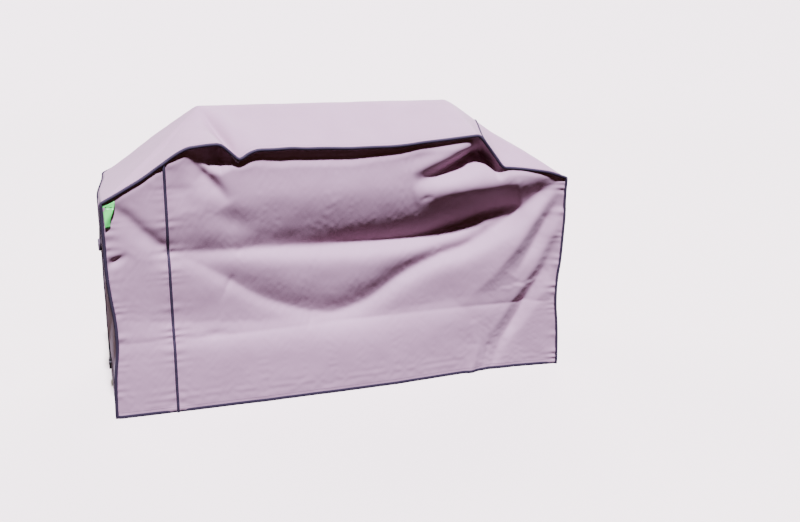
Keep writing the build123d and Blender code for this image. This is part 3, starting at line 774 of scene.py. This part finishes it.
for tag in (add_piece("tag_ribbon", mesh_of(tag_bm, "tag_ribbon"), ribbon, "tag", "tag_ribbon", "corner_tag"),
            add_piece("tag_sewn_end", mesh_of(sewn_end, "tag_sewn_end"), ribbon, "cover", "tag_ribbon")):
    ribbon_thickness = tag.modifiers.new("thickness", "SOLIDIFY")
    ribbon_thickness.thickness = 0.0005

# ---- Handles ----------------------------------------------------------------------------------------
# One at each end: a reinforcing patch of the cover cloth, a loop of 28 mm polyester webbing sewn to it
# with box-X stitching, and a padded cloth sleeve round the loop's grip.
PATCH_CORNER = 0.012
PATCH_SOFT = 0.0006            # how far the patch's rims are rounded
SLEEVE_CORNER = 0.006
SLEEVE_SOFT = 0.0055           # the padding rounds the sleeve nearly to a tube
SLEEVE_SEAM = 0.0075           # from the sleeve's long edges to the rows that close it
PATCH_INSET = 0.007            # from the patch's edge to its row of stitches
THREAD_LIFT = 0.0003           # middle of a thread above the patch, or sunk in the sleeve
END_THREAD_LIFT = 0.0002       # and above the webbing's sewn ends
LEG_Y = 0.085                  # middle of the loop to each of its two legs
BOX_HALF = 0.010               # half the width of a leg's box-X stitching


def slab(low, high, corner, soft):
    """A closed slab filling a box, its four outline corners rounded and its rims softened."""
    bm = bmesh.new()
    bmesh.ops.create_cube(bm, size=1.0)
    size = high - low
    thin = min(range(3), key=lambda k: size[k])
    bmesh.ops.scale(bm, vec=size, verts=bm.verts)
    bmesh.ops.translate(bm, vec=(low + high) / 2, verts=bm.verts)
    standing = [e for e in bm.edges if abs(e.verts[0].co[thin] - e.verts[1].co[thin]) > 0.9 * size[thin]]
    bmesh.ops.bevel(bm, geom=standing, offset=corner, affect="EDGES", segments=5, profile=0.5, material=-1)
    rims = [e for e in bm.edges if abs(e.verts[0].co[thin] - e.verts[1].co[thin]) < 1e-6]
    bmesh.ops.bevel(bm, geom=rims, offset=soft, affect="EDGES", segments=3, profile=0.5, material=-1)
    return bm


def dress(node, finish):
    """Give its finish to a CAD node that already has the right shape."""
    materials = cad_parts[node].data.materials
    materials.clear()
    materials.append(finish)


def lay_pattern(bm, across, up):
    """A flat cloth piece's own pattern: its UV is its place along two axes, in metres."""
    pattern = bm.loops.layers.uv.new("UVMap")
    for f in bm.faces:
        for loop in f.loops:
            loop[pattern].uv = (loop.vert.co[across], loop.vert.co[up])
    return bm


def box_cross(bm, x, low_y, high_y, low_z, high_z):
    """Box-X stitching: a rectangle and its two diagonals."""
    a, b, c, d = ((x, low_y, low_z), (x, high_y, low_z), (x, high_y, high_z), (x, low_y, high_z))
    for row in ((a, b, c, d, a), (a, c), (b, d)):
        sew(bm, row)


# The webbing is browner and duller than the piping; the sleeve's cloth is a lighter plum-grey.
webbing = ribbed_tape("polyester_webbing", "#2B2328", 0.78)
sleeve_cloth = woven_polyester("sleeve_oxford", "#4A3C46", "#3E323B", 0.72)
for side, sign in (("left", -1), ("right", 1)):
    low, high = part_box(side + "_handle_patch")
    patch_mesh = mesh_of(lay_pattern(slab(low, high, PATCH_CORNER, PATCH_SOFT), 1, 2), "patch")
    patch = add_piece(side + "_patch_cloth", patch_mesh, cover_cloth, "cover", "cover_cloth",
                      side + "_handle_patch")
    sewing = bmesh.new()
    x = (high.x if sign > 0 else low.x) + sign * THREAD_LIFT
    low, high = low + Vector((0, PATCH_INSET, PATCH_INSET)), high - Vector((0, PATCH_INSET, PATCH_INSET))
    sew(sewing, [(x, low.y, low.z), (x, high.y, low.z), (x, high.y, high.z), (x, low.y, high.z),
                 (x, low.y, low.z)])
    low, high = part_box(side + "_handle_ends")
    x = (high.x if sign > 0 else low.x) + sign * END_THREAD_LIFT
    for leg_y in (-LEG_Y, LEG_Y):
        box_cross(sewing, x, leg_y - BOX_HALF, leg_y + BOX_HALF, low.z + 0.012, high.z - 0.005)
    add_piece(side + "_handle_stitching", mesh_of(sewing, "sewing"), thread_finish, "cover", "webbing")
    dress(side + "_handle_ends", webbing)
    dress(side + "_handle_webbing", webbing)
    low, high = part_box(side + "_handle_grip")
    sleeve_mesh = mesh_of(lay_pattern(slab(low, high, SLEEVE_CORNER, SLEEVE_SOFT), 1, 2), "sleeve")
    grip = add_piece(side + "_grip_sleeve", sleeve_mesh, sleeve_cloth, side + "_handle", "trim_cloth",
                     side + "_handle_grip")
    closing = bmesh.new()
    x = (high.x if sign > 0 else low.x) - sign * THREAD_LIFT
    for z in (low.z + SLEEVE_SEAM, high.z - SLEEVE_SEAM):
        sew(closing, [(x, low.y + PATCH_INSET, z), (x, high.y - PATCH_INSET, z)])
    add_piece(side + "_grip_stitching", mesh_of(closing, "closing"), thread_finish, side + "_handle",
              "trim_cloth")

# ---- Cinch straps and buckles -----------------------------------------------------------------------
# A 25 mm webbing strap round each end just above the hem, in two parts, with a moulded acetal
# side-release buckle between them and the strap's free tail hanging from the plug.
STRAP = 0.025
STRAP_RADIUS = 0.0009          # half the webbing's thickness
STRAP_LIFT = 0.0012            # middle of the strap above the cloth it lies on
TAIL_WAVE = 0.0025             # how far the free tail curls at its end
# Moulded acetal is near black and dull, with a fine spark-eroded grain.
acetal = new_finish("moulded_acetal", "#1C191B", 0.38, Specular_IOR_Level=0.5)
grain = add_node(acetal, "ShaderNodeTexNoise", {
    "Vector": add_node(acetal, "ShaderNodeTexCoord", {}).outputs["Object"], "Scale": 900.0, "Detail": 2.0})
etched = add_node(acetal, "ShaderNodeBump", {"Height": grain.outputs["Fac"], "Strength": 0.15,
                                             "Distance": 0.0002})
feed(acetal, "Normal", etched.outputs["Normal"])


def strap_along(points):
    """A length of the strap's webbing, standing on edge, with its two selvedges rounded."""
    return length_along(points, STRAP_RADIUS, STRAP - 2 * STRAP_RADIUS)


for side, sign in (("left", -1), ("right", 1)):
    for part in ("_strap_front", "_strap_rear"):
        low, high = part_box(side + part)
        z = (low.z + high.z) / 2
        sent = [(sign * OUT_X, y, z) for y in np.arange(low.y + 0.004, high.y, 0.012)]
        run = on_cloth(sent, (-sign, 0, 0), STRAP_LIFT)
        add_piece(side + part + "_webbing", strap_along(run), webbing, "cover", "webbing", side + part)
    low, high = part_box(side + "_strap_tail")
    middle, z = (low.x + high.x) / 2, (low.z + high.z) / 2
    run = [(middle + sign * TAIL_WAVE * math.sin(6 * share) * share, low.y + share * (high.y - low.y), z)
           for share in np.linspace(0, 1, 14)]
    add_piece(side + "_strap_tail_webbing", strap_along(run), webbing, side + "_plug", "webbing",
              side + "_strap_tail")
    dress(side + "_buckle_socket", acetal)
    dress(side + "_buckle_plug", acetal)

# ---- Vents ------------------------------------------------------------------------------------------
# Two windows high in the back let wind and damp out: a polyester net behind each, and a rain flap of the
# cover cloth that hangs over it from a sewn header strip.
NET_CELL = 0.005               # 2 mm net, drawn coarser so that it shows
NET_THREAD = 0.0011
FLAP_INSET = 0.008             # from the flap's edge to its row of stitches
FLAP_THICK = 0.0016            # doubled cloth, pressed flat
FLAP_THREAD_LIFT = 0.0012      # middle of a thread behind the flap's own surface
HEADER_CORNER = 0.002
HEADER_SOFT = 0.0007
# The net's thread is near black and dull, so that the windows look dark.
net_finish = new_finish("polyester_net", "#241E22", 0.6)


def upright_grid(low, high, columns, rows):
    """A flat grid of faces standing across the middle of a box, as wide and high as the box."""
    bm = bmesh.new()
    upright = Matrix.Translation((low + high) / 2) @ Matrix.Rotation(math.pi / 2, 4, "X")
    bmesh.ops.create_grid(bm, x_segments=columns, y_segments=rows, size=0.5,
                          matrix=upright @ Matrix.Diagonal((high.x - low.x, high.z - low.z, 1, 1)))
    return bm


for side in ("left", "right"):
    low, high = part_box(side + "_vent_mesh")
    net = upright_grid(low, high, round((high.x - low.x) / NET_CELL), round((high.z - low.z) / NET_CELL))
    bmesh.ops.wireframe(net, faces=net.faces, thickness=NET_THREAD, offset=0, use_replace=True,
                        use_boundary=True, use_even_offset=False, use_crease=False, crease_weight=1.0,
                        use_relative_offset=False, material_offset=0)
    add_piece(side + "_vent_net", mesh_of(net, "net"), net_finish, "cover", "vent_mesh", side + "_vent_mesh")
    low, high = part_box(side + "_vent_flap")
    flap_bm = upright_grid(low, high, 40, 18)
    for v in flap_bm.verts:
        drop = (high.z - v.co.z) / (high.z - low.z)
        v.co.y = high.y - 0.0004 + 0.006 * drop**2 + 0.002 * drop * math.sin(60 * v.co.x)
    bmesh.ops.recalc_face_normals(flap_bm, faces=flap_bm.faces)
    flap_tree = BVHTree.FromBMesh(flap_bm)
    flap_hem = bmesh.new()
    left_x, right_x, foot = low.x + FLAP_INSET, high.x - FLAP_INSET, low.z + FLAP_INSET
    for start, end in (((left_x, high.z), (left_x, foot)), ((left_x, foot), (right_x, foot)),
                       ((right_x, foot), (right_x, high.z))):
        run = [Vector((*start, 0)).lerp(Vector((*end, 0)), share) for share in np.linspace(0.02, 0.98, 20)]
        struck = [flap_tree.ray_cast(Vector((p.x, OUT_Y, p.y)), Vector((0, -1, 0)))[0] for p in run]
        sew(flap_hem, [at + Vector((0, FLAP_THREAD_LIFT, 0)) for at in struck if at is not None])
    add_piece(side + "_flap_stitching", mesh_of(flap_hem, "flap_hem"), thread_finish, side + "_vent",
              "trim_cloth")
    flap = add_piece(side + "_rain_flap", mesh_of(lay_pattern(flap_bm, 0, 2), "flap"), cover_cloth,
                     side + "_vent", "cover_cloth", side + "_vent_flap")
    doubled = flap.modifiers.new("thickness", "SOLIDIFY")
    doubled.thickness = FLAP_THICK
low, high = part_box("vent_flap_headers")
headers = bmesh.new()
for side in ("left", "right"):
    flap_low, flap_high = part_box(side + "_vent_flap")
    strip = mesh_of(slab(Vector((flap_low.x, low.y, low.z)), Vector((flap_high.x, high.y, high.z)),
                         HEADER_CORNER, HEADER_SOFT), "strip")
    headers.from_mesh(strip)
    bpy.data.meshes.remove(strip)
add_piece("vent_header_tape", mesh_of(headers, "headers"), trim_tape, "cover", "trim_cloth",
          "vent_flap_headers")
whole.free()

# ---- Studio -----------------------------------------------------------------------------------------
# A pale dish of floor that curves up all round, one cool key light high in front, and a low warm fill.
# The floor throws no light back on the cover.
FLOOR_FLAT = 9.0               # radius of the level part
FLOOR_CURVE = 14.0             # radius of the curve that rises from it
studio = bmesh.new()
rim = [studio.verts.new((0, 0, 0)), studio.verts.new((FLOOR_FLAT, 0, 0))]
studio.edges.new(rim)
bmesh.ops.spin(studio, geom=[rim[1]], cent=(FLOOR_FLAT, 0, FLOOR_CURVE), axis=(0, -1, 0),
               angle=math.radians(65), steps=14)
bmesh.ops.spin(studio, geom=studio.verts[:] + studio.edges[:], cent=(0, 0, 0), axis=(0, 0, 1),
               angle=2 * math.pi, steps=64, use_merge=True)
bmesh.ops.remove_doubles(studio, verts=studio.verts, dist=1e-4)
bmesh.ops.recalc_face_normals(studio, faces=studio.faces)
floor = bpy.data.objects.new("floor", mesh_of(studio, "floor"))
bpy.context.scene.collection.objects.link(floor)
for f in floor.data.polygons:
    f.use_smooth = True
# Painted board is warm white and chalky, which the cool key light turns neutral.
floor.data.materials.append(new_finish("painted_board", "#FFF6E2", 0.9))
floor.visible_diffuse = False
floor.visible_glossy = False

world = bpy.data.worlds.new("studio")
bpy.context.scene.world = world
world.use_nodes = True
world.node_tree.nodes["Background"].inputs["Color"].default_value = linear("#E8AC98")
world.node_tree.nodes["Background"].inputs["Strength"].default_value = 0.070

key = bpy.data.lights.new("key", "SUN")
key.energy = 18.0
key.color = (0.80, 0.74, 1.0)
key.angle = math.radians(4)
key_light = bpy.data.objects.new("key", key)
bpy.context.scene.collection.objects.link(key_light)
key_light.rotation_euler = Vector((0.0, 0.42, -0.88)).to_track_quat("-Z", "Y").to_euler()

# Two weaker, softer lights from behind show the back and the ends, and don't reach the front.
for name, energy, toward in (("back_right", 3.4, (-0.45, -0.80, -0.40)),
                             ("back_left", 2.2, (0.60, -0.70, -0.38))):
    soft = bpy.data.lights.new(name, "SUN")
    soft.energy = energy
    soft.angle = math.radians(40)
    lamp = bpy.data.objects.new(name, soft)
    bpy.context.scene.collection.objects.link(lamp)
    lamp.rotation_euler = Vector(toward).to_track_quat("-Z", "Y").to_euler()

# The camera stands left of the middle at a tall person's eye height and looks a little down.
camera = bpy.data.cameras.new("camera")
camera.lens = 41.7
camera.sensor_width = 36
eye = bpy.data.objects.new("camera", camera)
bpy.context.scene.collection.objects.link(eye)
YAW, PITCH, ROLL = math.radians(19.0), math.radians(15.41), math.radians(0.5)
ahead = Vector((math.sin(YAW) * math.cos(PITCH), math.cos(YAW) * math.cos(PITCH), -math.sin(PITCH)))
eye.location = (-1.0596, -4.0509, 1.6548)
eye.rotation_euler = (ahead.to_track_quat("-Z", "Y").to_matrix() @ Matrix.Rotation(ROLL, 3, "Z")).to_euler()
bpy.context.scene.camera = eye
